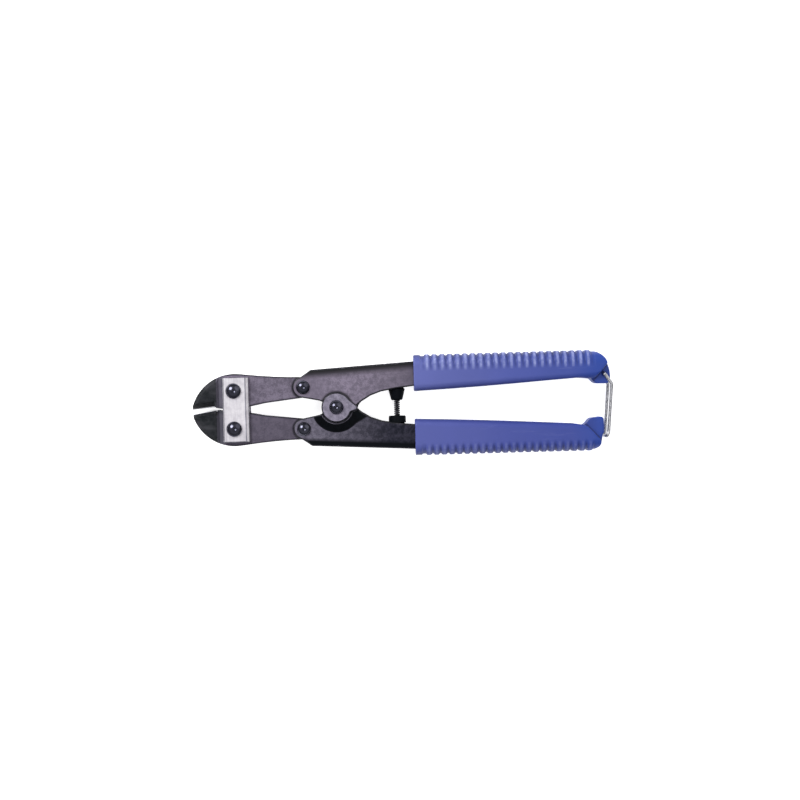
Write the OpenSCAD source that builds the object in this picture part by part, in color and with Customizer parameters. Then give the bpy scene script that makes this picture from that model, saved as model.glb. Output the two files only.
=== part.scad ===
// Compact 210 mm bolt cutters with compound leverage, drawn in the latched position.
// The tool lies flat: X runs from the jaws to the grips, Y towards the upper handle,
// Z up through the thickness. The origin is under the middle of the tool, on the table.
// Upper and lower pieces are mirrored or turned copies of each other about the X axis.

/* [Linkage] */
// distance along the tool from the main pivot to the two link bolts
link_reach = 50.9; // [50.6:0.1:51.2]
// half the distance between the two link bolts
link_half = 9.45; // [9.3:0.05:9.6]
// distance along the tool from the main pivot to the two tail bolts
tail_reach = 16.4; // [16.2:0.1:16.6]
// half the distance between the two tail bolts
tail_half = 10.35; // [10.2:0.05:10.5]
// shank radius of the link bolts
link_bolt_r = 2.5; // [2.3:0.1:2.6]
// shank radius of the tail bolts
tail_bolt_r = 2.2; // [2:0.1:2.4]
// shank radius of the main pivot bolt
pivot_bolt_r = 2.3; // [2.1:0.1:2.4]
// extra radius of the link plates' upper hole, which carries the linkage's play
play = 0.3; // [0.25:0.05:0.4]

/* [Jaws] */
// half thickness of the blade tails
tail_z = 3.8; // [3.6:0.1:3.8]
// half thickness of the cutting head
head_z = 5.4; // [5:0.1:5.6]
// radius of the rounded nose of the cutting head
nose_r = 22; // [21.8:0.1:22.2]
// half the gap between the cutting edges at the tip
tip_gap = 1; // [0.7:0.05:1]
// half the gap between the cutting edges at the heel
heel_gap = 0.7; // [0.45:0.05:0.7]

/* [Link plates] */
// width of each link plate along the tool
plate_w = 13; // [12.6:0.1:13.1]
// length of each link plate across the tool
plate_len = 32; // [31.6:0.1:32.4]
// distance from the link bolts to the middle of the plate's width
plate_shift = 1; // [0:0.1:1.2]
// thickness of each link plate
plate_t = 2.3; // [2:0.1:2.4]

/* [Handles] */
// sheet thickness of the pressed steel handles
sheet = 1.6; // [1.4:0.1:1.6]
// half the inner width of the handle channels
channel_z = 3.9; // [3.9:0.05:3.95]
// radius of the pivot lobe on the raised side wall
lobe_r = 7.4; // [7.2:0.1:7.5]
// radius of the ear around each tail bolt
ear_r = 5.25; // [5.1:0.05:5.3]

/* [Grips] */
// half thickness of the grips
grip_z = 9; // [8.8:0.1:9]
// distance from the middle line to the flat outer side of the grips
grip_out = 24.3; // [24:0.1:24.5]
// height of the ribs above the outer side
rib_h = 0.8; // [0.5:0.1:0.9]
// width of each rib along the grip
rib_w = 2.3; // [1.8:0.1:2.6]
// distance from rib to rib
rib_pitch = 3.8; // [3.7:0.05:3.85]
// number of ribs on each grip
rib_count = 22; // [18:1:22]
// half thickness of the thin foot at each grip's end
foot_z = 5.2; // [5:0.1:5.3]

/* [Spring and latch] */
// outer radius of the return spring
spring_r = 1.6; // [1.5:0.05:1.65]
// radius of the spring's wire
spring_wire = 0.35; // [0.3:0.05:0.4]
// distance along the tool from the main pivot to the spring
spring_x = 30; // [29.5:0.1:30.5]
// radius of the latch wire
wire_r = 0.85; // [0.75:0.05:0.85]
// distance from the middle plane to the middle of each latch leg
leg_z = 6.4; // [6.35:0.05:6.5]

/* [Hidden] */
$fn = 64;
pivot_x = -32.72;
mid_z = grip_z;
slack = 0.03;
run = 0.05;
link = [-link_reach, link_half];
tail = [-tail_reach, tail_half];
nose = [-50.5, 18 - nose_r];
mouth_tip = [-71.5, -0.45];
mouth_heel = [-60.3, 1.1];
mouth_angle = atan2(mouth_heel[1] - mouth_tip[1], mouth_heel[0] - mouth_tip[0]);
mouth_len = norm(mouth_heel - mouth_tip);
wall_z = channel_z + sheet;
lobe_z = wall_z + 0.05;
lobe_top = lobe_z + sheet;
slope_in = lobe_r + 0.15;
slope_out = 12.3;
plate_z = tail_z + 0.05;
plate_top = plate_z + plate_t;
grip_start = 38.7;
inner_angle = 2.65;
latch = [133, 13.3];
knee = [136.7, 8];
bend = [134.55, -15.9];
hook = [133.75, -18];
leg_r = wire_r - 0.05;
steel = [0.42, 0.39, 0.46];
dark_steel = [0.12, 0.13, 0.15];
bright = [0.85, 0.84, 0.87];
black = [0.06, 0.06, 0.08];
blue = [0.32, 0.36, 0.68];
wire = [0.6, 0.6, 0.62];

module at_pivot() {
    translate([pivot_x, 0, mid_z]) children();
}

// swaps the upper side for the lower one
module side(s) {
    if (s > 0) children();
    if (s < 0) mirror([0, 1, 0]) children();
}

// ---- blades ----

// outline of the upper blade's head, without the mouth
module head_outline() {
    intersection() {
        translate(nose) circle(r = nose_r, $fn = 180);
        translate([-75, -3]) square([75 - 50.5, 30]);
    }
}

// tail of the upper blade, ending round about the tail bolt
module tail_outline() {
    polygon([[-58, -1], [-46, -1], [-46, 1], [-36, 3], [-30, 3.7], [-16.9, 5.2],
        [-16.4, 15.5], [-24, 15.7], [-31, 16.1], [-38, 16.7],
        [-44, 17.4], [-47.5, 17.8], [-50.6, 18], [-58, 16]]);
    translate(tail) circle(r = 5.2);
}

// everything below the upper blade's edge and heel
module below_mouth() {
    polygon([[-80, mouth_tip[1] + tip_gap - 8.5 * tan(mouth_angle)], mouth_tip + [0, tip_gap],
        mouth_heel + [0, heel_gap], [-59.6, 1.3], [-58, 0.9], [-54, 0.5], [-50.9, 0.45],
        [-44, 1.5], [-40, 2], [-40, -30], [-80, -30]]);
}

// two step grind along one cutting edge: a narrow honed facet, then the wide bevel
module grind(s, z_side) {
    heel = mouth_heel + [0, s * heel_gap];
    tip = mouth_tip + [0, s * tip_gap];
    mirror([0, 0, z_side < 0 ? 1 : 0])
        translate([heel[0], heel[1], 0])
            rotate([0, 0, atan2(tip[1] - heel[1], tip[0] - heel[0])])
                rotate([90, 0, 90])
                    linear_extrude(mouth_len + 6)
                        mirror([s > 0 ? 1 : 0, 0])
                            polygon([[-2, -0.65], [-0.3, -0.65], [0.45, 1.1],
                                [0.45 + 0.57 * head_z, head_z + 1.1], [-2, head_z + 1.1]]);
}

module blade(s) {
    difference() {
        side(s)
            union() {
                translate([0, 0, -tail_z]) linear_extrude(2 * tail_z) tail_outline();
                intersection() {
                    translate([0, 0, -head_z]) linear_extrude(2 * head_z) head_outline();
                    translate([nose[0], nose[1], 0]) nose_blank();
                    head_block();
                }
            }
        if (s > 0) translate([0, 0, -10]) linear_extrude(20) below_mouth();
        if (s < 0) translate([0, 0, -10]) linear_extrude(20) above_mouth();
        grind(s, 1);
        grind(s, -1);
        side(s) translate([link[0], link[1], -10]) cylinder(r = link_bolt_r + run, h = 20);
        side(s) translate([tail[0], tail[1], -10]) cylinder(r = tail_bolt_r + run, h = 20);
    }
}

// disc with bevelled rims that gives the nose its sloping border
module nose_blank() {
    rotate_extrude($fn = 180)
        polygon([[0, -head_z], [nose_r - 2, -head_z], [nose_r, 1.6 - head_z],
            [nose_r, head_z - 1.6], [nose_r - 2, head_z], [0, head_z]]);
}

// limits the thick head to the left of the link plates, with a sloping shoulder
module head_block() {
    rotate([90, 0, 0]) translate([0, 0, -30]) linear_extrude(60)
        polygon([[-80, -head_z], [-59.6, -head_z], [-58.4, -tail_z], [-50.5, -tail_z],
            [-50.5, tail_z], [-58.4, tail_z], [-59.6, head_z], [-80, head_z]]);
}

// everything above the lower blade's edge and heel, with the relief slot behind the edge
module above_mouth() {
    polygon([[-80, mouth_tip[1] - tip_gap - 8.5 * tan(mouth_angle)], mouth_tip - [0, tip_gap],
        mouth_heel - [0, heel_gap], [-60.2, -0.3], [-60, -1.4], [-59.75, -2.3], [-59.4, -2.6],
        [-59.1, -2.3], [-59.3, -1], [-59.2, 0.2], [-58.8, 0.3], [-58, 0.1], [-54, -0.4],
        [-50.9, -0.45], [-44, -1.5], [-40, -2], [-40, 30], [-80, 30]]);
}

module upper_blade() {
    color(steel) at_pivot() blade(1);
}

module lower_blade() {
    color(steel) at_pivot() blade(-1);
}

// ---- link plates, bolts and nuts ----

module link_plate(z_side) {
    difference() {
        mirror([0, 0, z_side < 0 ? 1 : 0])
            translate([plate_shift - link_reach, plate_len / 2, plate_z])
                rotate([90, 0, 0])
                    linear_extrude(plate_len)
                        polygon([[-plate_w / 2, 0], [plate_w / 2, 0], [plate_w / 2, plate_t - 0.9],
                            [plate_w / 2 - 1.6, plate_t], [0.6 - plate_w / 2, plate_t],
                            [-plate_w / 2, plate_t - 0.6]]);
        translate([-link_reach, link_half, -10]) cylinder(r = link_bolt_r + play, h = 20);
        translate([-link_reach, -link_half, -10]) cylinder(r = link_bolt_r + slack, h = 20);
    }
}

module front_link_plate() {
    color(bright) at_pivot() link_plate(1);
}

module rear_link_plate() {
    color(bright) at_pivot() link_plate(-1);
}

// domed bolt standing on z = seat, its shank reaching down to z = foot
module bolt(head_r, head_h, shank_r, seat, foot) {
    ball = (head_r * head_r + (head_h - 0.5) * (head_h - 0.5)) / (2 * (head_h - 0.5));
    intersection() {
        translate([0, 0, seat]) cylinder(r = head_r, h = head_h + 1);
        translate([0, 0, seat + head_h - ball]) sphere(r = ball, $fn = 96);
    }
    translate([0, 0, foot]) cylinder(r = shank_r, h = seat - foot);
}

// hexagon nut between two heights, with both rims chamfered
module nut(flats, hole_r, low, high) {
    tip = flats / sqrt(3);
    difference() {
        intersection() {
            translate([0, 0, low]) cylinder(r = tip, h = high - low, $fn = 6);
            rotate_extrude()
                polygon([[0, low], [flats / 2, low], [tip + 0.1, low + 0.45],
                    [tip + 0.1, high], [0, high]]);
        }
        translate([0, 0, low - 1]) cylinder(r = hole_r, h = high - low + 2);
    }
}

module link_bolt(s) {
    side(s) translate(link) bolt(3.8, 2.4, link_bolt_r, plate_top + 0.03, -plate_top - 2.1);
}

module upper_link_bolt() {
    color(black) at_pivot() link_bolt(1);
}

module lower_link_bolt() {
    color(black) at_pivot() link_bolt(-1);
}

module upper_link_nut() {
    color(black) at_pivot() translate(link)
        nut(7, link_bolt_r + slack, -plate_top - 2.4, -plate_top - 0.03);
}

module lower_link_nut() {
    color(black) at_pivot() mirror([0, 1, 0]) translate(link)
        nut(7, link_bolt_r + slack, -plate_top - 2.4, -plate_top - 0.03);
}

module tail_bolt(s) {
    side(s) translate(tail) bolt(3.4, 2.3, tail_bolt_r, wall_z, -wall_z - 2.1);
}

module upper_tail_bolt() {
    color(black) at_pivot() tail_bolt(1);
}

module lower_tail_bolt() {
    color(black) at_pivot() tail_bolt(-1);
}

module upper_tail_nut() {
    color(black) at_pivot() translate(tail)
        nut(6.4, tail_bolt_r + slack, -wall_z - 2.3, -wall_z);
}

module lower_tail_nut() {
    color(black) at_pivot() mirror([0, 1, 0]) translate(tail)
        nut(6.4, tail_bolt_r + slack, -wall_z - 2.3, -wall_z);
}

module main_pivot_bolt() {
    color(black) at_pivot() bolt(3.5, 2.4, pivot_bolt_r, lobe_top, 0.15 - mid_z);
}

module main_pivot_nut() {
    color(black) at_pivot() nut(6.4, pivot_bolt_r + slack, -mid_z, -lobe_top - 0.02);
}

module main_pivot_spacer() {
    color(wire) at_pivot() difference() {
        translate([0, 0, 0.02 - channel_z]) cylinder(r = 4.2, h = 2 * channel_z - 0.04);
        translate([0, 0, -10]) cylinder(r = pivot_bolt_r + slack, h = 20);
    }
}

// ---- handles ----

// inner border of a handle from the pivot to the grip, then inside the grip
inner_edge = [[7, 0.5], [10.2, 0.8], [12.2, 2.5], [16.8, 5.3], [22, 7.2], [30, 8.6],
    [38.5, 9.55], [60, 10.6], [90, 12.3], [119, 14.2]];

// outer border, back from the grip's end to the ear
outer_edge = [[119, 20.6], [116, 21.3], [60, 21.7], [38.5, 21.75], [-12.7, 18.9],
    [-14.2, 17.7], [-17.5, 15.45]];

// flat side wall of the upper handle
module flat_wall() {
    difference() {
        union() {
            polygon(concat([[0, 0]], inner_edge, outer_edge,
                [[-16.4, 15.6], [-21, 9], [-16.9, 5.15], [-12, 4.2], [-8.5, 3.5], [-6.3, 2.6]]));
            circle(r = lobe_r - 0.2);
            translate(tail) circle(r = ear_r);
        }
        circle(r = pivot_bolt_r + run);
        translate(tail) circle(r = tail_bolt_r + slack);
    }
}

// side wall that is pressed outwards around the pivot, seen flat
module raised_wall() {
    difference() {
        union() {
            polygon(concat([[0, 0]], [[10.5, -0.35], [10.4, 0.8]],
                [for (i = [2:len(inner_edge) - 1]) inner_edge[i]], outer_edge,
                [[-16.4, 15.6], [-21, 9], [-16.9, 5.15], [-12, 4.2], [-8.5, 3.5], [-6.3, 2.6]]));
            circle(r = lobe_r);
            translate(tail) circle(r = ear_r);
            wedge();
        }
        circle(r = pivot_bolt_r + slack);
        translate(tail) circle(r = tail_bolt_r + slack);
    }
}

// pointed part of the lobe beside the pivot
module wedge() {
    polygon([[0, 0], [4.7, -5.3], [10.5, -0.35], [10.4, 1.3], [6, 3]]);
}

// ring shaped slope that joins the raised lobe to the flat wall
module slope() {
    rotate_extrude($fn = 128)
        polygon([[slope_in, lobe_z], [slope_out, channel_z], [slope_out + 0.4, channel_z],
            [slope_out + 0.4, wall_z], [slope_in, lobe_top]]);
}

module raised_side() {
    translate([0, 0, channel_z]) linear_extrude(sheet) difference() {
        raised_wall();
        circle(r = slope_out, $fn = 128);
    }
    intersection() {
        slope();
        linear_extrude(12) difference() {
            raised_wall();
            wedge();
        }
    }
    translate([0, 0, lobe_z]) linear_extrude(sheet) intersection() {
        raised_wall();
        union() {
            circle(r = slope_in + 0.01, $fn = 128);
            wedge();
            circle(r = lobe_r);
        }
    }
}

// folded back of the channel along the handle's outer side
module spine() {
    translate([0, 0, -channel_z - 0.4]) linear_extrude(2 * channel_z + 0.8)
        polygon([[-12.7, 18.9], [38.5, 21.75], [60, 21.7], [116, 21.3], [119, 20.6],
            [119, 19], [116, 19.7], [60, 20.1], [38.5, 20.15], [-12.6, 17.3]]);
}

// upper handle: flat wall in front, raised wall behind
module handle_channel() {
    translate([0, 0, channel_z]) linear_extrude(sheet) flat_wall();
    mirror([0, 0, 1]) raised_side();
    spine();
}

module upper_handle() {
    color(steel) at_pivot() handle_channel();
}

module lower_handle() {
    color(steel) at_pivot() rotate([180, 0, 0]) handle_channel();
}

// ---- grips ----

// thick body of the grip seen from the front; the end differs between the two grips
module grip_outline(end) {
    polygon(concat([[grip_start, 6.9], [56, 7.6], [72, 8.4], [90, 9.45], [106, 10.5]], end,
        [[grip_start, 30]]));
}

upper_end = [[121, 11.4], [126.8, 10.8], [128.7, 11.2], [135, 18.3], [134, 20.5], [132.2, 22.6],
    [130, 24], [127, 24.9], [124, 30]];
lower_end = [[118, 11.3], [122, 12], [124.4, 13.1], [130.6, 19.8], [130.9, 21.6], [130, 23.1],
    [128, 24.4], [125, 25.1], [121, 30]];

// outline of the thin foot that almost closes the grips' ends
upper_foot = [[122, 13], [125.8, 11.4], [127, 10.3], [128, 9], [129.4, 8.25], [135.2, 8.15],
    [136.2, 9], [136.4, 11], [136.2, 14.4], [135.4, 17.3], [133.6, 20.2], [126, 20]];
lower_foot = [[119, 13.5], [122.6, 12.1], [124, 11], [125, 9.7], [126.2, 8.8], [131.6, 8.15],
    [132.6, 9], [132.7, 12], [132.65, 15.8], [132.05, 16.8], [131.6, 18.6], [131.3, 21],
    [129, 21.5], [122, 20]];

// cross section of the grip at a given outer height; the crest is used for the ribs
module grip_section(out, corner, flat_z) {
    rotate([90, 0, 90])
        linear_extrude(140)
            union() {
                translate([-5, -flat_z]) square([out - corner + 5, 2 * flat_z]);
                translate([0, -flat_z + corner]) square([out, 2 * flat_z - 2 * corner]);
                translate([out - corner, flat_z - corner]) circle(r = corner);
                translate([out - corner, corner - flat_z]) circle(r = corner);
            }
}

// rounding of the grip's inner corners, along its sloping inner side
module inner_rounding() {
    translate([grip_start, 6.75, 0]) rotate([0, 0, inner_angle]) rotate([90, 0, 90])
        translate([0, 0, -2])
            linear_extrude(140)
                union() {
                    translate([4, -grip_z]) square([40, 2 * grip_z]);
                    translate([-0.2, 4 - grip_z]) square([40, 2 * grip_z - 8]);
                    translate([3.8, grip_z - 4]) circle(r = 4);
                    translate([3.8, 4 - grip_z]) circle(r = 4);
                }
}

module rib_slabs() {
    for (i = [0:rib_count - 1])
        translate([45.4 + i * rib_pitch - rib_w / 2, 12, -10]) cube([rib_w, 20, 20]);
}

module grip_body(end, foot) {
    intersection() {
        translate([0, 0, -grip_z]) linear_extrude(2 * grip_z) grip_outline(end);
        union() {
            grip_section(grip_out, 6, grip_z);
            intersection() {
                grip_section(grip_out + rib_h, 5.6, grip_z);
                rib_slabs();
            }
            intersection() {
                grip_section(grip_out + 0.6, 5.8, grip_z);
                translate([grip_start, 0, -10]) cube([3.2, 40, 20]);
            }
        }
        inner_rounding();
    }
    translate([0, 0, -foot_z]) linear_extrude(2 * foot_z) polygon(foot);
}

// room for the handle channel inside the grip
module channel_room() {
    translate([0, 0, -wall_z]) linear_extrude(2 * wall_z)
        polygon([[38, 9.52], [38.5, 9.55], [60, 10.6], [90, 12.3], [119.1, 14.2], [119.1, 20.6],
            [116, 21.3], [60, 21.7], [38.5, 21.75], [38, 21.73]]);
}

module upper_grip() {
    color(blue) at_pivot() difference() {
        grip_body(upper_end, upper_foot);
        channel_room();
        translate([latch[0], latch[1], -10]) cylinder(r = wire_r + 0.07, h = 20);
    }
}

module lower_grip() {
    color(blue) at_pivot() mirror([0, 1, 0]) difference() {
        grip_body(lower_end, lower_foot);
        channel_room();
    }
}

// ---- return spring and its seats ----

module upper_spring_seat() {
    color(black) at_pivot() difference() {
        translate([spring_x, 0, 0]) rotate([-90, 0, 0]) rotate_extrude()
            polygon([[0, 2.7], [2.5, 2.7], [2.9, 3.2], [4.1, 8], [4.1, 8.4], [3.6, 8.6],
                [3.6, 19.5], [0, 19.5]]);
        translate([spring_x, 2, 0]) rotate([-90, 0, 0]) cylinder(r = spring_r + 0.15, h = 6.7);
    }
}

module lower_spring_seat() {
    color(black) at_pivot() difference() {
        translate([spring_x, 0, 0]) rotate([90, 0, 0]) rotate_extrude()
            polygon([[0, 5], [3.9, 5], [4.3, 5.4], [4.3, 8.5], [3.6, 8.6], [3.6, 19.5], [0, 19.5]]);
        translate([spring_x, -4, 0]) rotate([90, 0, 0]) cylinder(r = spring_r + 0.15, h = 4.9);
    }
}

// envelope of the coils, which stretch and shorten with the handles
module return_spring() {
    color(wire) at_pivot() translate([spring_x, -8.8, 0]) rotate([-90, 0, 0]) difference() {
        cylinder(r = spring_r, h = 17.4);
        translate([0, 0, -1]) cylinder(r = spring_r - 2 * spring_wire, h = 20);
    }
}

// ---- latch ----

// straight run of wire between two points of one plane
module wire_run(a, b) {
    translate([a[0], a[1], 0]) rotate([0, 0, atan2(b[1] - a[1], b[0] - a[0])])
        rotate([0, 90, 0]) cylinder(r = leg_r, h = norm(b - a));
}

// rounded corner where two runs of wire meet
module wire_corner(p) {
    translate([p[0], p[1], 0]) sphere(r = wire_r + 0.03);
}

// one leg in its own plane, from the axis of its pin to the axis of the crossbar
module latch_leg() {
    wire_run(latch, knee);
    wire_run(knee, bend);
    wire_run(bend, hook);
    wire_corner(latch);
    wire_corner(knee);
    wire_corner(bend);
    wire_corner(hook);
}

module latch_bail() {
    color(wire) at_pivot() {
        for (s = [0, 1])
            mirror([0, 0, s]) {
                translate([0, 0, leg_z]) latch_leg();
                translate([latch[0], latch[1], 2.2]) cylinder(r = wire_r, h = leg_z - 2.2);
            }
        translate([hook[0], hook[1], -leg_z]) cylinder(r = leg_r, h = 2 * leg_z);
    }
}

upper_blade();
lower_blade();
front_link_plate();
rear_link_plate();
upper_link_bolt();
lower_link_bolt();
upper_link_nut();
lower_link_nut();
upper_handle();
lower_handle();
main_pivot_bolt();
main_pivot_nut();
main_pivot_spacer();
upper_tail_bolt();
lower_tail_bolt();
upper_tail_nut();
lower_tail_nut();
upper_grip();
lower_grip();
upper_spring_seat();
lower_spring_seat();
return_spring();
latch_bail();
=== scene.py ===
import math

import bmesh
import bpy
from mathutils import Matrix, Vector


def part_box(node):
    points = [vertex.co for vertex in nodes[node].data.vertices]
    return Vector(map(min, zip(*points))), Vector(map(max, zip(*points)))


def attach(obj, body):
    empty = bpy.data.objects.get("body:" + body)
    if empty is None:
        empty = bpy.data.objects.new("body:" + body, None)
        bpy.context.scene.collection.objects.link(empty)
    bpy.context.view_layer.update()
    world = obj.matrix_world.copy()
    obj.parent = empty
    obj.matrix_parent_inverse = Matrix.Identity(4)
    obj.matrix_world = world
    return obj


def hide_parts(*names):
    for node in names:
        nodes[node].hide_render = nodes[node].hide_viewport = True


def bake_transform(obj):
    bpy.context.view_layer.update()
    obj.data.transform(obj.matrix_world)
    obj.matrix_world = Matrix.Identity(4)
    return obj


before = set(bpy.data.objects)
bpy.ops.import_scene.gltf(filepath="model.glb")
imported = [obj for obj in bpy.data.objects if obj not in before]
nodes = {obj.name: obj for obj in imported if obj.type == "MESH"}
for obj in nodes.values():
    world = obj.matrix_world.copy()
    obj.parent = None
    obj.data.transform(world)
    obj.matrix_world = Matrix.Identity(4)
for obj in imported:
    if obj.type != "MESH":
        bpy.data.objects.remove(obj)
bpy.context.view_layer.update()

# The looks of a 210 mm pair of bolt cutters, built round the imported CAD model, in metres.
# X runs from the jaws to the grips, Y towards the upper handle, Z up from the floor.

MM = 0.001


def mid(node):
    """Middle of a CAD node's box."""
    low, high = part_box(node)
    return (Vector(low) + Vector(high)) / 2


PIVOT = mid("main_pivot_spacer")  # main pivot's axis, middle plane of the tool
TAIL_BOLT = mid("upper_tail_nut")  # the lower tail bolt is its mirror image
AXIS_Z = PIVOT.z
LOBE_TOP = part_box("lower_handle")[1][2] - AXIS_Z  # flat top of the raised lobe
SHEET_TOP = LOBE_TOP - 1.65 * MM  # front face of the handles' flat walls
RIB_PITCH = 3.8 * MM
RIB_FIRST = PIVOT.x + 45.4 * MM
RIB_LAST = RIB_FIRST + 21 * RIB_PITCH
WELD_GAP = 0.001 * MM  # joins the corners that the loaded meshes have split

# ---- camera: straight down, a long way off, turned a little as the tool lies ----

CAMERA_HEIGHT = 0.7
CAMERA_EAST, CAMERA_NORTH = 31.6 * MM, 2.7 * MM
CAMERA_TURN = -1.6  # degrees
PICTURE_WIDTH = 0.4  # at the tool
SENSOR_WIDTH = 36

scene = bpy.context.scene
scene.view_settings.view_transform = "Standard"
scene.view_settings.look = "None"
cam_data = bpy.data.cameras.new("camera")
cam_data.sensor_width = SENSOR_WIDTH
cam_data.lens = SENSOR_WIDTH * CAMERA_HEIGHT / PICTURE_WIDTH
cam = bpy.data.objects.new("camera", cam_data)
cam.location = (PIVOT.x + CAMERA_EAST, CAMERA_NORTH, AXIS_Z + CAMERA_HEIGHT)
cam.rotation_euler = (0, 0, math.radians(CAMERA_TURN))
scene.collection.objects.link(cam)
scene.camera = cam

# ---- light ----

# name, place, diameter, power, colour; every lamp faces the origin
LAMPS = (
    ("key", (-0.54, 0.46, 0.62), 0.48, 6.6, (1, 1, 1)),
    ("top", (0.17, -0.17, 0.95), 0.26, 1.5, (1, 1, 1)),
    ("rim", (0.70, 0.60, 0.60), 1.2, 2.5, (1, 0.98, 0.96)),
)
BACKDROP = (1, 1, 1, 1)
HORIZON = (0.12, 0.12, 0.13, 1)
ZENITH = (0.27, 0.27, 0.29, 1)
SKY_BANDS = ((0.35, 0.30), (0.7, 0.56))  # height and level of the brighter bands between


def area_light(name, place, diameter, power, colour):
    data = bpy.data.lights.new(name, "AREA")
    data.shape = "DISK"
    data.size = diameter
    data.energy = power
    data.color = colour
    lamp = bpy.data.objects.new(name, data)
    lamp.location = place
    lamp.rotation_euler = (-Vector(place)).to_track_quat("-Z", "Y").to_euler()
    scene.collection.objects.link(lamp)


def studio_world():
    """Grey dome that lights the tool from above, behind a white backdrop for the camera."""
    world = bpy.data.worlds.new("studio")
    world.use_nodes = True
    tree = world.node_tree
    sky = tree.nodes["Background"]
    backdrop = tree.nodes.new("ShaderNodeBackground")
    backdrop.inputs["Color"].default_value = BACKDROP
    coord = tree.nodes.new("ShaderNodeTexCoord")
    split = tree.nodes.new("ShaderNodeSeparateXYZ")
    ramp = tree.nodes.new("ShaderNodeValToRGB")
    tree.links.new(coord.outputs["Generated"], split.inputs["Vector"])
    tree.links.new(split.outputs["Z"], ramp.inputs["Fac"])
    stops = ramp.color_ramp.elements
    stops[0].color = HORIZON
    stops[1].color = ZENITH
    for height, level in SKY_BANDS:
        stop = stops.new(height)
        stop.color = (level * 0.97, level * 0.98, level, 1)
    tree.links.new(ramp.outputs["Color"], sky.inputs["Color"])
    seen = tree.nodes.new("ShaderNodeLightPath")
    mix = tree.nodes.new("ShaderNodeMixShader")
    tree.links.new(seen.outputs["Is Camera Ray"], mix.inputs["Fac"])
    tree.links.new(sky.outputs["Background"], mix.inputs[1])
    tree.links.new(backdrop.outputs["Background"], mix.inputs[2])
    tree.links.new(mix.outputs["Shader"], tree.nodes["World Output"].inputs["Surface"])
    return world


for lamp_row in LAMPS:
    area_light(*lamp_row)
scene.world = studio_world()

# ---- materials ----

GRAIN = 1900  # scales of the noise in the lacquered steel, from fine to broad
BLOTCH = 430
CLOUD = 42
GRAIN_BUMP = 0.06 * MM
EDGE_SHADE_BLACK = (0.014, 0.013, 0.02)  # painted shade: black for the shade along the tail's rims and round the ears


class Shader:
    """A material being built: short calls for the nodes that repeat."""

    def __init__(self, name):
        self.mat = bpy.data.materials.new(name)
        self.mat.use_nodes = True
        self.tree = self.mat.node_tree
        self.bsdf = self.tree.nodes["Principled BSDF"]
        self.coord = self.node("ShaderNodeTexCoord").outputs["Object"]

    def node(self, kind, **settings):
        n = self.tree.nodes.new(kind)
        for key, value in settings.items():
            setattr(n, key, value)
        return n

    def link(self, a, b):
        self.tree.links.new(a, b)

    def feed(self, socket, value):
        if isinstance(value, bpy.types.NodeSocket):
            self.link(value, socket)
        else:
            socket.default_value = value

    def stretched(self, scale):
        n = self.node("ShaderNodeMapping")
        n.inputs["Scale"].default_value = scale
        self.link(self.coord, n.inputs["Vector"])
        return n.outputs["Vector"]

    def noise(self, scale, detail=4, rough=0.55, vector=None):
        n = self.node("ShaderNodeTexNoise")
        n.inputs["Scale"].default_value = scale
        n.inputs["Detail"].default_value = detail
        n.inputs["Roughness"].default_value = rough
        self.link(vector or self.coord, n.inputs["Vector"])
        return n.outputs["Fac"]

    def range(self, value, low, high, to_low=0.0, to_high=1.0):
        n = self.node("ShaderNodeMapRange")
        self.feed(n.inputs["Value"], value)
        n.inputs["From Min"].default_value = low
        n.inputs["From Max"].default_value = high
        n.inputs["To Min"].default_value = to_low
        n.inputs["To Max"].default_value = to_high
        return n.outputs["Result"]

    def math(self, kind, a, b=0.0):
        n = self.node("ShaderNodeMath", operation=kind)
        self.feed(n.inputs[0], a)
        self.feed(n.inputs[1], b)
        return n.outputs[0]

    def add(self, a, b):
        return self.math("ADD", a, b)

    def minus(self, a, b):
        return self.math("SUBTRACT", a, b)

    def times(self, a, b):
        return self.math("MULTIPLY", a, b)

    def abs(self, a):
        return self.math("ABSOLUTE", a)

    def mix(self, fac, a, b):
        n = self.node("ShaderNodeMix", data_type="RGBA")
        self.feed(n.inputs["Factor"], fac)
        self.feed(n.inputs[6], a if isinstance(a, bpy.types.NodeSocket) else (*a, 1))
        self.feed(n.inputs[7], b if isinstance(b, bpy.types.NodeSocket) else (*b, 1))
        return n.outputs[2]

    def bump(self, height, strength, distance):
        n = self.node("ShaderNodeBump")
        n.inputs["Strength"].default_value = strength
        n.inputs["Distance"].default_value = distance
        self.link(height, n.inputs["Height"])
        self.link(n.outputs["Normal"], self.bsdf.inputs["Normal"])

    def set(self, **values):
        for key, value in values.items():
            self.feed(self.bsdf.inputs[key.replace("_", " ")], value)

    def specular(self, level):
        self.bsdf.inputs["Specular IOR Level"].default_value = level

    def axes(self):
        n = self.node("ShaderNodeSeparateXYZ")
        self.link(self.coord, n.inputs["Vector"])
        return n.outputs

    def along(self, x, start, stop, to_low=0.0, to_high=1.0):
        """Change along the tool between two distances from the main pivot, in mm."""
        return self.range(x, PIVOT.x + start * MM, PIVOT.x + stop * MM, to_low, to_high)

    def by_side(self, y, lower, upper):
        """One value on the lower half of the tool, another on the upper half."""
        return self.range(y, -1 * MM, 1 * MM, lower, upper)

    def depth(self, z):
        """Distance from the tool's middle plane."""
        return self.abs(self.minus(z, AXIS_Z))

    def around(self, x, y, centre, full, none):
        """Strong within the first distance of an upright axis, nothing beyond the second."""
        across = self.math("POWER", self.minus(x, centre.x), 2.0)
        along = self.math("POWER", self.minus(y, centre.y), 2.0)
        far = self.math("SQRT", self.add(across, along))
        return self.range(far, full, none, 0.9, 0)


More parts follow.
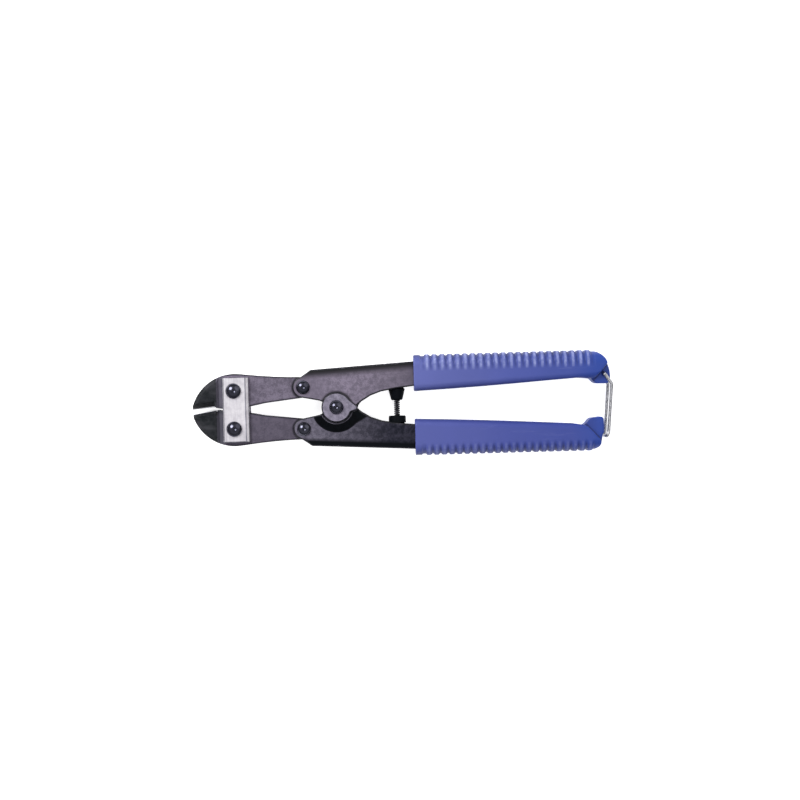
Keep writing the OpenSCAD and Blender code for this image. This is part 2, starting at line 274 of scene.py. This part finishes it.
def mottle(s):
    """The grain alone, and the grain over soft blotches and clouds, from 0 to 1."""
    fine = s.noise(GRAIN, 3, 0.65)
    blotch = s.noise(BLOTCH, 3, 0.6)
    clouds = s.noise(CLOUD, 4, 0.6)
    tone = s.add(s.times(s.range(fine, 0.36, 0.64), 0.22),
                 s.times(s.range(blotch, 0.3, 0.7), 0.4))
    tone = s.add(tone, s.times(clouds, 0.38))
    return fine, s.range(tone, 0.35, 0.65)


def lacquer(s, fine, base, specular, smooth, rough):
    """Finish shared by the handles and blades: thin worn lacquer over rough steel."""
    s.set(Base_Color=base, Metallic=0.15)
    s.specular(specular)
    s.set(Roughness=s.range(fine, 0.3, 0.7, smooth, rough))
    s.bump(fine, 0.2, GRAIN_BUMP)
    return s.mat


HANDLE_LEAN = 0.056  # the handles' outer sides lean out by this much along the tool
BEND_START, BEND_END = 14.8 * MM, 18.4 * MM


def outer_bend_shade(s, x, y, side):
    """0 on the handle's flat wall, 1 on the bend along its outer side, for painted shade."""
    lean = s.times(s.minus(x, PIVOT.x), HANDLE_LEAN)
    return s.range(s.minus(s.times(y, side), lean), BEND_START, BEND_END)


LOBE_SHADOW = 7.6 * MM, 8.7 * MM  # painted shadow round the lobe, on the upper handle


def upper_handle_steel():
    """Lacquered pressed steel with fine scratches along it; painted shade makes it darker
    towards both ends and on its outer bend, with a painted shadow round the lobe.
    """
    light, dark = (0.25, 0.21, 0.285), (0.135, 0.115, 0.16)
    s = Shader("handle_steel_upper")
    x, y, _ = s.axes()
    fine, grain = mottle(s)
    base = s.mix(grain, dark, light)
    # painted shade: darker towards the grip and towards the pivot
    away = s.along(x, 8, 40, 0, 0.75)
    base = s.mix(away, base, [c * 0.6 for c in dark])
    near = s.along(x, -12, 6, 0.6, 0)
    base = s.mix(near, base, dark)
    # painted shade on the bend along the outer side
    bend = outer_bend_shade(s, x, y, 1)
    base = s.mix(s.range(bend, 0, 0.7), base, [c * 0.22 for c in dark])
    base = s.mix(s.range(bend, 0.7, 1.0), base, (0.004, 0.004, 0.006))
    # painted shadow round the lobe
    base = s.mix(s.around(x, y, PIVOT, *LOBE_SHADOW), base, (0.006, 0.006, 0.009))
    scratch = s.noise(1, 3, 0.7, s.stretched((90, 900, 400)))
    base = s.mix(s.range(scratch, 0.68, 0.78, 0, 0.25), base, [c * 1.5 for c in light])
    return lacquer(s, fine, base, 0.3, 0.5, 0.64)


CRESCENT_SLOPE, CRESCENT_LEVEL = 0.567, 13.7 * MM  # line that bounds the painted shadow in the crescent's point


def lower_handle_steel():
    """The same lacquer, pale on the raised lobe; painted shade makes it dark towards the grip
    and on its outer bend, and a painted shadow makes it near black on the slope.
    """
    s = Shader("handle_steel_lower")
    x, y, z = s.axes()
    fine, grain = mottle(s)
    pale = s.mix(grain, (0.17, 0.155, 0.205), (0.29, 0.265, 0.34))
    # painted shade: a darker copy of the lacquer for the lower handle, and a near black one
    # for the painted shadow
    shaded_lacquer = s.mix(grain, (0.010, 0.011, 0.019), (0.036, 0.034, 0.052))
    slope_shadow = s.mix(grain, (0.0005, 0.001, 0.002), (0.002, 0.003, 0.005))
    east = s.minus(x, PIVOT.x)
    body = s.mix(s.range(east, -14 * MM, 26 * MM), s.mix(0.45, pale, shaded_lacquer), shaded_lacquer)
    # painted shade on the bend along the outer side
    bend = outer_bend_shade(s, x, y, -1)
    body = s.mix(s.range(bend, 0.15, 0.68), body, (0.002, 0.003, 0.005))
    height = s.minus(z, AXIS_Z)
    # painted shadow in the crescent's point
    above = s.minus(y, s.minus(s.times(east, CRESCENT_SLOPE), CRESCENT_LEVEL))
    point = s.times(s.range(above, -0.4 * MM, 0.4 * MM), s.range(east, 8 * MM, 9 * MM))
    front = s.range(height, SHEET_TOP - 0.2 * MM, SHEET_TOP - 0.1 * MM)
    body = s.mix(s.times(point, front), body, slope_shadow)
    # painted shadow on the slope down from the raised lobe
    raised = s.range(height, SHEET_TOP + 0.02 * MM, SHEET_TOP + 0.12 * MM)
    lobe = s.range(height, LOBE_TOP - 0.3 * MM, LOBE_TOP - 0.2 * MM)
    skin = s.mix(lobe, s.mix(raised, body, slope_shadow), pale)
    return lacquer(s, fine, skin, 0.08, 0.5, 0.64)


def sheet_edge(name, dark, worn):
    """Rounded rims of pressed or forged steel: painted black as shade, worn pale here and
    there.
    """
    s = Shader(name)
    patch = s.noise(150, 4, 0.65)
    fine = s.noise(1500, 3)
    s.set(Base_Color=s.mix(s.range(patch, 0.56, 0.7, 0, 0.6), dark, worn), Metallic=0.4)
    s.set(Roughness=s.range(fine, 0.3, 0.7, 0.36, 0.5))
    s.bump(fine, 0.15, 0.05 * MM)
    return s.mat


def brushed(name, colour, shade, along, rough=0.26, metallic=0.95):
    """Ground bright steel with fine streaks along one axis and a few smudges."""
    s = Shader(name)
    scale = [900, 900, 900]
    scale[along] = 60
    streak = s.noise(1, 4, 0.6, s.stretched(scale))
    smudge = s.noise(260, 4, 0.65)
    mixed = s.add(s.times(streak, 0.45), s.times(smudge, 0.55))
    s.set(Base_Color=s.mix(s.range(mixed, 0.36, 0.6), shade, colour), Metallic=metallic)
    s.set(Roughness=s.range(mixed, 0.3, 0.7, rough + 0.1, rough))
    s.bump(streak, 0.12, 0.05 * MM)
    return s.mat


def black_oxide(name, colour, glint, rough):
    """Polished black finish on steel: mirror-like, with faint handling marks."""
    s = Shader(name)
    fine = s.noise(900, 4, 0.6)
    patch = s.noise(240, 3)
    s.set(Base_Color=s.mix(s.range(patch, 0.35, 0.7), colour, glint), Metallic=1.0)
    s.set(Roughness=s.range(fine, 0.3, 0.7, rough, rough + 0.08))
    s.bump(fine, 0.06, 0.03 * MM)
    return s.mat


# the tail's inner and outer edges: heights at the ends of two straight stretches each
TAIL_INNER = ((-47, -36, 0.85, 3.0), (-36, -16.9, 0, 2.2))
TAIL_OUTER = ((-47.5, -31, 17.8, 16.1), (-31, -16.4, 0, -0.6))
TAIL_FACE = 3.2 * MM, 3.7 * MM  # the painted shade line is on the faces, and fades out down the edges
RIM_SHADE = 0.35 * MM, 0.95 * MM
EAR_SHADOW = 5.4 * MM, 6.4 * MM  # painted shadow that the handle's ear casts on the blade, round the tail bolt


def edge_line(s, east, stretches):
    """Height of an edge made of two straight stretches, in terms of the distance east."""
    (a, b, low, high), (c, d, none, change) = stretches
    return s.add(s.range(east, a * MM, b * MM, low * MM, high * MM),
                 s.range(east, c * MM, d * MM, none * MM, change * MM))


def tail_rim_shade(s, x, y, depth):
    """1 along the rims of a blade's tail, painted dark as shade, 0 on its worn flat."""
    east = s.minus(x, PIVOT.x)
    inner = edge_line(s, east, TAIL_INNER)
    outer = edge_line(s, east, TAIL_OUTER)
    away = s.abs(y)
    inside = s.math("MINIMUM", s.minus(away, inner), s.minus(outer, away))
    rim = s.range(inside, *RIM_SHADE, 0.9, 0)
    return s.times(rim, s.range(depth, *TAIL_FACE))


HEAD_END = PIVOT.x - 59.55 * MM  # the thick cutting head ends at this shoulder
MOUTH_HEEL, MOUTH_SLOPE, MOUTH_RISE = PIVOT.x - 60.3 * MM, 0.138, 1.1 * MM
HONED_BAND = 1.55 * MM, 1.7 * MM  # bright to this far from the mouth's middle line
HONED_DEPTH = 1.0 * MM, 1.15 * MM  # and from the middle plane


def blade_steel():
    """Blued forging, black over the head, with bright honed edges and a worn shoulder; painted
    highlight streaks on the head, painted shade on the lower tail, along the tail's rims and
    round the ear.
    """
    s = Shader("blade_steel")
    x, y, z = s.axes()
    fine, grain = mottle(s)
    tail = s.mix(grain, (0.105, 0.09, 0.125), (0.19, 0.163, 0.22))
    # painted shade: the lower blade's tail is darker
    lower_half_shade = s.by_side(y, 0.6, 0)
    tail = s.mix(lower_half_shade, tail, (0.055, 0.047, 0.07))
    depth = s.depth(z)
    # painted shade along the tail's rims
    tail = s.mix(tail_rim_shade(s, x, y, depth), tail, EDGE_SHADE_BLACK)
    # painted shadow of the handle's ear on the tail
    ear = s.around(x, s.abs(y), TAIL_BOLT, *EAR_SHADOW)
    tail = s.mix(ear, tail, EDGE_SHADE_BLACK)
    shoulder = s.along(x, -57, -55.6, 0.6, 0)
    tail = s.mix(shoulder, tail, (0.075, 0.078, 0.095))
    head = s.mix(grain, (0.005, 0.007, 0.009), (0.018, 0.02, 0.024))
    # painted highlight: lighter streaks across the black head
    painted_glint = s.noise(1, 2, 0.5, s.stretched((40, 160, 40)))
    head = s.mix(s.range(painted_glint, 0.55, 0.7, 0, 0.6), head, (0.06, 0.06, 0.07))
    in_head = s.range(x, HEAD_END - 0.1 * MM, HEAD_END + 0.1 * MM, 1, 0)
    body = s.mix(in_head, tail, head)
    thin = s.range(depth, *HONED_DEPTH, 1, 0)
    mouth = s.add(s.times(s.minus(x, MOUTH_HEEL), MOUTH_SLOPE), MOUTH_RISE)
    near = s.range(s.abs(s.minus(y, mouth)), *HONED_BAND, 1, 0)
    honed = s.times(s.times(thin, near), in_head)
    scratch = s.noise(1, 3, 0.6, s.stretched((300, 2500, 300)))
    bright = s.mix(scratch, (0.78, 0.78, 0.82), (0.96, 0.96, 0.98))
    return lacquer(s, fine, s.mix(honed, body, bright), 0.18, 0.46, 0.6)


# painted shade in the corner where the thick grip steps down to its foot: a sloping line that
# starts here, in mm
FOLD_START_LOWER, FOLD_START_UPPER = (124.4, 13.1), (128.7, 11.2)
FOLD_SLOPE = 0.91
FOLD_OFFSET = 0.4 * MM
FOLD_LINE = 0.3 * MM, 0.9 * MM
FOLD_FOOT, FOLD_TOP = (4.4 * MM, 4.9 * MM), (7.6 * MM, 8.6 * MM)  # its ends in depth
FLANK = 5.4 * MM, 8.5 * MM  # painted shade on the grip's sides, up to its rounded face
RIB_SIDE = 16.5 * MM, 19 * MM  # the painted highlight and shade on the ribs fade in between these distances out
RIB_INSET_LOWER = 3 * MM  # and this much further out on the lower grip


def grip_fold_shade(s, x, y, depth):
    """1 in the corner between the thick grip and its foot, for painted shade, 0 elsewhere."""
    (lower_x, lower_y), (upper_x, upper_y) = FOLD_START_LOWER, FOLD_START_UPPER
    start_x = s.by_side(y, lower_x * MM, upper_x * MM)
    start_y = s.by_side(y, lower_y * MM, upper_y * MM)
    rise = s.minus(s.abs(y), start_y)
    beyond = s.minus(s.minus(s.minus(x, PIVOT.x), start_x), s.times(rise, FOLD_SLOPE))
    near = s.abs(s.minus(beyond, FOLD_OFFSET))
    fold = s.times(s.range(near, *FOLD_LINE, 0.85, 0), s.range(depth, *FOLD_TOP, 1, 0))
    return s.times(fold, s.range(depth, *FOLD_FOOT))


def grip_ribs(s, x, y):
    """Strength of the painted highlight on the crests and of the painted shade in the grooves
    of the ribs.
    """
    step = s.math("DIVIDE", s.minus(x, RIB_FIRST), RIB_PITCH)
    wave = s.math("COSINE", s.times(step, 2 * math.pi))
    inset = s.by_side(y, RIB_INSET_LOWER, 0)
    ribbed = s.range(s.minus(s.abs(y), inset), *RIB_SIDE)
    ribbed = s.times(ribbed, s.range(x, RIB_FIRST - RIB_PITCH, RIB_FIRST))
    ribbed = s.times(ribbed, s.range(x, RIB_LAST, RIB_LAST + RIB_PITCH, 1, 0))
    # the painted highlight on the crests varies at random, and is weaker on the lower grip
    worn = s.range(s.noise(330, 3, 0.6), 0.35, 0.65, 0.25, 0.8)
    crest_highlight = s.times(s.range(wave, 0.1, 0.9), s.times(ribbed, worn))
    groove_shade = s.times(s.range(wave, -0.95, -0.3, 0.6, 0), ribbed)
    return s.times(crest_highlight, s.by_side(y, 0.4, 1)), groove_shade


def vinyl():
    """Dipped vinyl: slow tone, faint streaks from handling, with painted shade where it turns
    away, on the lower grip, in the fold and in the rib grooves, and a painted highlight on the
    rib crests.
    """
    s = Shader("grip_vinyl")
    x, y, z = s.axes()
    fine = s.noise(2200, 3, 0.6)
    slow = s.noise(38, 4, 0.6)
    scuff = s.noise(1, 4, 0.65, s.stretched((60, 420, 420)))
    base = s.mix(s.range(slow, 0.3, 0.7), (0.058, 0.078, 0.315), (0.078, 0.10, 0.375))
    # paler towards the pivot end of the grip
    paler_near_pivot = s.along(x, 38, 85, 0.5, 0)
    base = s.mix(paler_near_pivot, base, (0.13, 0.15, 0.42))
    deeper = s.along(x, 70, 112, 0, 0.6)
    base = s.mix(deeper, base, (0.022, 0.052, 0.30))
    base = s.mix(s.range(scuff, 0.6, 0.8, 0, 0.3), base, (0.17, 0.20, 0.46))
    # painted shade: the lower grip is darker
    lower_half_shade = s.by_side(y, 0.35, 0)
    base = s.mix(lower_half_shade, base, (0.028, 0.042, 0.26))
    ends = s.along(x, 116, 130)
    base = s.mix(s.times(ends, 0.9), base, (0.012, 0.05, 0.32))
    depth = s.depth(z)
    # painted shade on the sides, where the sleeve turns away
    flank_shade = s.times(s.range(depth, *FLANK, 0.9, 0), s.minus(1.0, ends))
    base = s.mix(flank_shade, base, (0.010, 0.022, 0.15))
    # painted shade in the corner of the fold
    base = s.mix(grip_fold_shade(s, x, y, depth), base, (0.008, 0.018, 0.12))
    crest_highlight, groove_shade = grip_ribs(s, x, y)
    # painted highlight on the rib crests, painted shade in the grooves
    base = s.mix(crest_highlight, base, (0.33, 0.37, 0.68))
    base = s.mix(groove_shade, base, (0.014, 0.026, 0.16))
    s.set(Base_Color=base, Roughness=s.range(slow, 0.3, 0.7, 0.44, 0.56))
    s.specular(0.4)
    s.bump(fine, 0.2, 0.08 * MM)
    return s.mat


def matt_black(name):
    """Moulded black plastic with a fine matt grain."""
    s = Shader(name)
    fine = s.noise(1600, 3, 0.6)
    s.set(Base_Color=s.mix(fine, (0.001, 0.002, 0.003), (0.005, 0.006, 0.009)))
    s.specular(0.06)
    s.set(Roughness=s.range(fine, 0.3, 0.7, 0.45, 0.6))
    s.bump(fine, 0.2, 0.08 * MM)
    return s.mat


def drawn_wire(name, colour, shade):
    """Bright or dark drawn wire with slight streaks."""
    s = Shader(name)
    streak = s.noise(700, 4, 0.6)
    s.set(Base_Color=s.mix(s.range(streak, 0.3, 0.7), shade, colour), Metallic=0.95)
    s.set(Roughness=s.range(streak, 0.3, 0.7, 0.2, 0.36))
    s.bump(streak, 0.1, 0.04 * MM)
    return s.mat


upper_steel = upper_handle_steel()
lower_steel = lower_handle_steel()
# painted shade: the handles' and blades' rounded rims are dark, with worn pale patches
edge_shade_steel = sheet_edge("handle_edge_shade", (0.012, 0.012, 0.018), (0.16, 0.15, 0.19))
blade_edge_shade = sheet_edge("blade_edge_shade", (0.02, 0.02, 0.028), (0.22, 0.21, 0.25))
blade = blade_steel()
plate = brushed("plate_steel", (0.74, 0.715, 0.75), (0.50, 0.475, 0.52), 1, 0.42, 0.3)
# painted shade: the link plates' bevelled rims darker than their face
plate_edge_shade = brushed("plate_edge_shade", (0.30, 0.29, 0.34), (0.10, 0.10, 0.13), 1, 0.3, 0.6)
bolt_black = black_oxide("black_bolt", (0.058, 0.058, 0.08), (0.09, 0.09, 0.118), 0.13)
nut_black = black_oxide("black_nut", (0.03, 0.03, 0.04), (0.06, 0.06, 0.075), 0.3)
spacer = brushed("spacer_steel", (0.6, 0.6, 0.62), (0.4, 0.4, 0.42), 2)
blue = vinyl()
seat = matt_black("seat_plastic")
coil_steel = drawn_wire("spring_steel", (0.08, 0.08, 0.095), (0.02, 0.02, 0.026))
bail_steel = drawn_wire("latch_wire", (0.46, 0.46, 0.48), (0.37, 0.37, 0.39))

# ---- CAD nodes that stay: materials and rounded edges ----

FLAT_ANGLE = 0.4  # degrees; facets that meet more flatly are one face
EDGE_ANGLE = 28  # degrees; sharper edges are rounded


def dress(node, material, bevel, edge=None, clamp=False):
    """Material, rounded edges and clean shading for a CAD node."""
    o = nodes[node]
    o.data.materials.clear()
    o.data.materials.append(material)
    joined = o.modifiers.new("joined", "WELD")
    joined.merge_threshold = WELD_GAP
    flat = o.modifiers.new("flats", "DECIMATE")
    flat.decimate_type = "DISSOLVE"
    flat.angle_limit = math.radians(FLAT_ANGLE)
    m = o.modifiers.new("edges", "BEVEL")
    m.width = bevel
    m.segments = 3
    m.limit_method = "ANGLE"
    m.angle_limit = math.radians(EDGE_ANGLE)
    m.use_clamp_overlap = clamp
    if edge:
        o.data.materials.append(edge)
        m.material = 1
    even = o.modifiers.new("shading", "WEIGHTED_NORMAL")
    even.keep_sharp = True


for name in ("upper_blade", "lower_blade"):
    dress(name, blade, 0.3 * MM, blade_edge_shade, clamp=True)
for name in ("front_link_plate", "rear_link_plate"):
    dress(name, plate, 0.3 * MM, plate_edge_shade)
for joint in ("upper_link", "lower_link", "main_pivot", "upper_tail", "lower_tail"):
    dress(joint + "_bolt", bolt_black, 0.12 * MM)
    dress(joint + "_nut", nut_black, 0.12 * MM)
dress("upper_handle", upper_steel, 0.65 * MM, edge_shade_steel)
dress("lower_handle", lower_steel, 0.65 * MM, edge_shade_steel)
dress("main_pivot_spacer", spacer, 0.1 * MM)
for name in ("upper_spring_seat", "lower_spring_seat"):
    dress(name, seat, 0.2 * MM)

# ---- helpers for new pieces ----


def mesh_object(name, verts, faces, material, smooth=True):
    mesh = bpy.data.meshes.new(name)
    mesh.from_pydata([tuple(v) for v in verts], [], faces)
    mesh.update()
    o = bpy.data.objects.new(name, mesh)
    scene.collection.objects.link(o)
    mesh.materials.append(material)
    for p in mesh.polygons:
        p.use_smooth = smooth
    bm = bmesh.new()
    bm.from_mesh(mesh)
    bmesh.ops.recalc_face_normals(bm, faces=bm.faces)
    bm.to_mesh(mesh)
    bm.free()
    return o


def swept_wire(name, path, radius, material, sides):
    """Closed tube along a path of points, with flat ends."""
    verts, faces = [], []
    n = len(path)
    tangents = []
    for i in range(n):
        a, b = path[max(i - 1, 0)], path[min(i + 1, n - 1)]
        tangents.append((b - a).normalized())
    normal = tangents[0].orthogonal().normalized()
    for point, t in zip(path, tangents):
        normal = (normal - t * normal.dot(t)).normalized()
        side = t.cross(normal)
        for k in range(sides):
            a = 2 * math.pi * k / sides
            verts.append(point + radius * (math.cos(a) * normal + math.sin(a) * side))
    for i in range(n - 1):
        for k in range(sides):
            j = (k + 1) % sides
            faces.append((i * sides + k, i * sides + j, (i + 1) * sides + j,
                          (i + 1) * sides + k))
    faces.append(tuple(range(sides)))
    faces.append(tuple((n - 1) * sides + k for k in range(sides)))
    return mesh_object(name, verts, faces, material)


def rounded_path(corners, radius, steps=7):
    """Points along a polyline whose corners are rounded to the radius, where there's room."""
    room = 0.48  # share of a run that one corner may take
    out = [corners[0]]
    for a, b, c in zip(corners, corners[1:], corners[2:]):
        u, v = (a - b).normalized(), (c - b).normalized()
        half = u.angle(v) / 2
        reach = min(radius / math.tan(half), room * (a - b).length, room * (c - b).length)
        r = reach * math.tan(half)
        centre = b + (u + v).normalized() * (r / math.sin(half))
        start = (b + u * reach - centre).normalized()
        end = (b + v * reach - centre).normalized()
        for i in range(steps + 1):
            out.append(centre + r * start.slerp(end, i / steps))
    out.append(corners[-1])
    return out


# ---- dipped vinyl sleeves over the handles ----

SLEEVE_VOXEL = 0.35 * MM
SLEEVE_ROUNDS = 3
END_FROM = RIB_LAST + 1.6 * MM
END_STEP = 0.15 * MM
END_ROUNDS = 12
LATCH_AXIS = Vector((PIVOT.x + 133 * MM, 13.3 * MM))
LATCH_CLEAR = 2.4 * MM  # the wire's hole in the foot keeps its size


def round_end(mesh, box):
    """Softens the sleeve beyond its last rib and keeps it inside its CAD box."""
    low, high = box
    bm = bmesh.new()
    bm.from_mesh(mesh)
    for step in range(END_ROUNDS):
        start = END_FROM + step * END_STEP
        verts = [v for v in bm.verts
                 if v.co.x > start and (v.co.xy - LATCH_AXIS).length > LATCH_CLEAR]
        bmesh.ops.smooth_vert(bm, verts=verts, factor=0.5, use_axis_x=True, use_axis_y=True,
                              use_axis_z=True)
    for v in bm.verts:
        v.co = [min(max(c, a), b) for c, a, b in zip(v.co, low, high)]
    bm.to_mesh(mesh)
    bm.free()


def soft_sleeve(name, node, body):
    """The grip's own surface as one skin, with every edge softened as dipped vinyl is."""
    sleeve = bpy.data.objects.new("raw_" + name, nodes[node].data.copy())
    scene.collection.objects.link(sleeve)
    weld = sleeve.modifiers.new("joined", "WELD")
    weld.merge_threshold = WELD_GAP
    skin = sleeve.modifiers.new("skin", "REMESH")
    skin.mode = "VOXEL"
    skin.voxel_size = SLEEVE_VOXEL
    soft = sleeve.modifiers.new("soft", "SMOOTH")
    soft.factor = 0.5
    soft.iterations = SLEEVE_ROUNDS
    graph = bpy.context.evaluated_depsgraph_get()
    mesh = bpy.data.meshes.new_from_object(sleeve.evaluated_get(graph))
    bpy.data.objects.remove(sleeve)
    round_end(mesh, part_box(node))
    piece = bpy.data.objects.new(name, mesh)
    scene.collection.objects.link(piece)
    mesh.materials.clear()
    mesh.materials.append(blue)
    for face in mesh.polygons:
        face.use_smooth = True
    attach(piece, body)
    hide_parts(node)


for half in ("upper", "lower"):
    soft_sleeve(half + "_sleeve", half + "_grip", half + "_handle")

# ---- return spring ----

low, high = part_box("return_spring")
SPRING_X, SPRING_R = (low[0] + high[0]) / 2, (high[0] - low[0]) / 2
SPRING_WIRE_R = 0.33 * MM
TURNS, STEPS = 17, 20  # steps in each turn
coil = []
for i in range(TURNS * STEPS + 1):
    f = i / (TURNS * STEPS)
    a = 2 * math.pi * TURNS * f
    y = low[1] + SPRING_WIRE_R + (high[1] - low[1] - 2 * SPRING_WIRE_R) * f
    r = SPRING_R - SPRING_WIRE_R
    coil.append(Vector((SPRING_X + r * math.cos(a), y, AXIS_Z + r * math.sin(a))))
spring = swept_wire("coil_spring", coil, SPRING_WIRE_R, coil_steel, 10)
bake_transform(spring)
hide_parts("return_spring")

# ---- latch bail: one bent wire ----

LEG_Z = 6.4 * MM
LEG_POINTS = [(133, 13.3), (136.7, 8), (134.55, -15.9), (133.75, -18)]  # mm from the pivot
PIN_END = 2.3 * MM  # the pins stop this far from the middle plane
BAIL_CORNER = 1.3 * MM
BAIL_WIRE_R = 0.84 * MM
front = [Vector((PIVOT.x + x * MM, y * MM, AXIS_Z + LEG_Z)) for x, y in LEG_POINTS]
rear = [Vector((p.x, p.y, AXIS_Z - LEG_Z)) for p in front]
front_pin = Vector((front[0].x, front[0].y, AXIS_Z + PIN_END))
rear_pin = Vector((front[0].x, front[0].y, AXIS_Z - PIN_END))
bail_path = rounded_path([front_pin, *front, *rear[::-1], rear_pin], BAIL_CORNER)
bail = swept_wire("latch_wire_bail", bail_path, BAIL_WIRE_R, bail_steel, 18)
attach(bail, "latch_bail")
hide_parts("latch_bail")

# ---- floor ----

FLOOR_HALF = 20
FLOOR_DROP = 0.2 * MM  # clear of the grips, so that the two don't flicker
floor_shader = Shader("floor")
speck = floor_shader.noise(30, 3)
floor_shader.set(Base_Color=floor_shader.mix(speck, (0.86, 0.86, 0.86), (0.9, 0.9, 0.9)))
floor_shader.set(Roughness=0.8)
floor_shader.specular(0.1)
floor_shader.bsdf.inputs["Emission Color"].default_value = (1, 1, 1, 1)
floor_shader.bsdf.inputs["Emission Strength"].default_value = 0.8
floor_corners = [(x * FLOOR_HALF, y * FLOOR_HALF, 0)
                 for x, y in ((-1, -1), (1, -1), (1, 1), (-1, 1))]
floor = mesh_object("floor", floor_corners, [(0, 1, 2, 3)], floor_shader.mat, smooth=False)
floor.location.z = -FLOOR_DROP
